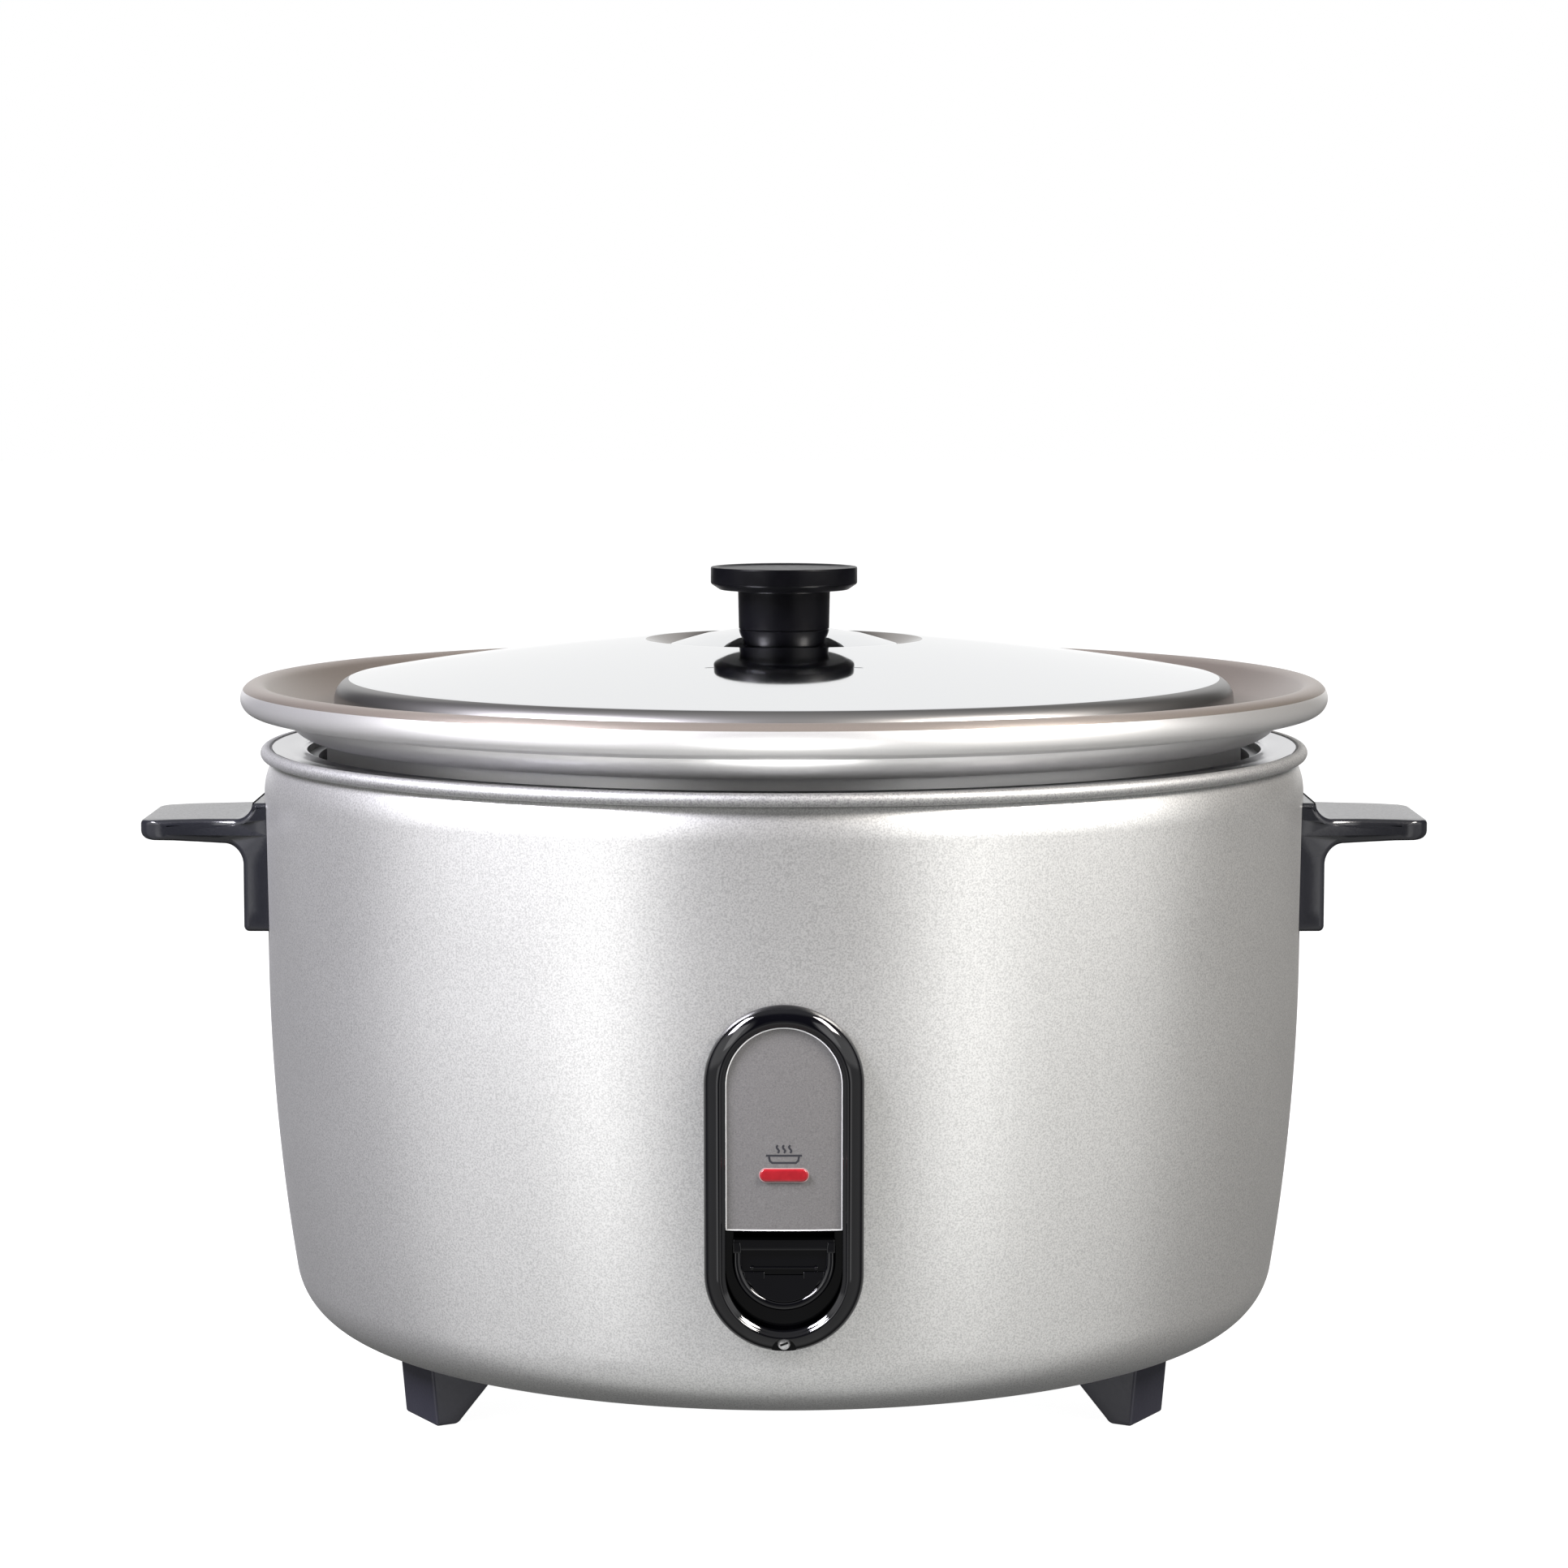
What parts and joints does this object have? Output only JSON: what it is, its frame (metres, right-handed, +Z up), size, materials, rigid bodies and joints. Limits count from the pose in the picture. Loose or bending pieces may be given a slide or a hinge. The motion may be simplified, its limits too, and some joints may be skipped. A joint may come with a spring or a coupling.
{
  "type": "rice cooker",
  "caption": "Large drop-in rice cooker: painted round body, two side handles, lift-out pan with rolled rim, polished lid with knob, cook lever and magnetic thermostat.",
  "frame": {"origin": "on the body's vertical axis, at the surface the feet stand on", "axes": "+Z up along the body's axis, -Y towards the cook lever, +X towards the right-hand handle as seen from the front"},
  "size_m": [0.5328, 0.452, 0.3416],
  "materials": {
    "body_paint": "silver metallic paint, satin",
    "ring_paint": "silver metallic paint, satin",
    "pan_metal": "brushed, soft sheen",
    "lid_metal": "mirror polished",
    "liner_metal": "mill finish",
    "plated_steel": "zinc plated",
    "handle_plastic": "satin black, fine grain",
    "gloss_black": "gloss black",
    "foot_plastic": "satin black",
    "label_grey": "fine grained grey",
    "lamp_red": "tinted, glossy",
    "heater_cast": "cast and turned",
    "element_sheath": "heat darkened",
    "ceramic": "glazed white",
    "magnet_black": "sintered",
    "switch_plastic": "moulded",
    "button_red": "moulded",
    "wire_sleeve": "silicone sleeve",
    "neon_glass": "clear",
    "brass_earth": "plain",
    "plate_blank": "blank plate"
  },
  "bodies": {
    "cooker_body": {"outer_shell": "body_paint", "top_ring": "ring_paint", "inner_liner": "liner_metal", "bottom_plate": "plated_steel", "bottom_screws": "plated_steel", "foot_front_left": "foot_plastic", "foot_front_right": "foot_plastic", "foot_rear": "foot_plastic", "foot_screws": "plated_steel", "handle_left": "handle_plastic", "handle_right": "handle_plastic", "handle_backing_plates": "plated_steel", "handle_screws": "plated_steel", "heater_plate": "heater_cast", "heater_element": "element_sheath", "heater_terminals": "ceramic", "heater_spacers": "ceramic", "heater_screws": "plated_steel", "thermostat_housing": "plated_steel", "thermostat_screws": "plated_steel", "switch_bracket": "plated_steel", "bracket_screws": "plated_steel", "lever_pivot_pin": "plated_steel", "microswitch": "switch_plastic", "terminal_block": "ceramic", "thermal_fuse": "ceramic", "earth_screw": "brass_earth", "internal_wires": "wire_sleeve", "switch_bezel": "gloss_black", "bezel_screw": "plated_steel", "label_plate": "label_grey", "lamp_lens": "lamp_red", "lamp_holder": "ceramic", "neon_lamp": "neon_glass", "cord_gland": "foot_plastic", "gland_nut": "foot_plastic", "rating_plate": "plate_blank"},
    "pan": {"pan": "pan_metal"},
    "lid": {"lid": "lid_metal", "lid_knob": "gloss_black", "knob_screw": "plated_steel", "knob_washer": "plated_steel"},
    "lever": {"cook_lever": "gloss_black", "lever_arm": "plated_steel"},
    "magnet_unit": {"magnet_holder": "plated_steel", "magnet": "magnet_black", "return_spring": "plated_steel"},
    "sensor": {"sensor_cap": "heater_cast", "ferrite_disc": "magnet_black", "sensor_spring": "plated_steel"},
    "switch_button": {"microswitch_button": "button_red"}
  },
  "joints": [
    {"name": "pan_lift", "type": "slide", "parent": "cooker_body", "child": "pan", "axis": [0, 0, 1], "range_m": [0, 0.21]},
    {"name": "lid_lift", "type": "slide", "parent": "pan", "child": "lid", "axis": [0, 0, 1], "range_m": [0, 0.1]},
    {"name": "lever_press", "type": "hinge", "parent": "cooker_body", "child": "lever", "pos_m": [0, -0.07, 0.045], "axis": [1, 0, 0], "range_deg": [0, 3.2], "stiffness_Nm_per_rad": 0.5, "springref_deg": -11.46},
    {"name": "magnet_lift", "type": "slide", "parent": "cooker_body", "child": "magnet_unit", "axis": [0, 0, 1], "range_m": [0, 0.004], "deforming": ["return_spring"]},
    {"name": "microswitch_press", "type": "slide", "parent": "cooker_body", "child": "switch_button", "axis": [0, 0, 1], "range_m": [-0.0015, 0]},
    {"name": "sensor_press", "type": "slide", "parent": "cooker_body", "child": "sensor", "axis": [0, 0, 1], "range_m": [-0.0015, 0], "stiffness_N_per_m": 600, "springref_m": 0.003, "deforming": ["sensor_spring"]}
  ],
  "couplings": [
    {"joint": "magnet_lift", "follows": "lever_press", "m_per_rad": 0.07},
    {"joint": "microswitch_press", "follows": "lever_press", "m_per_rad": -0.025}
  ]
}
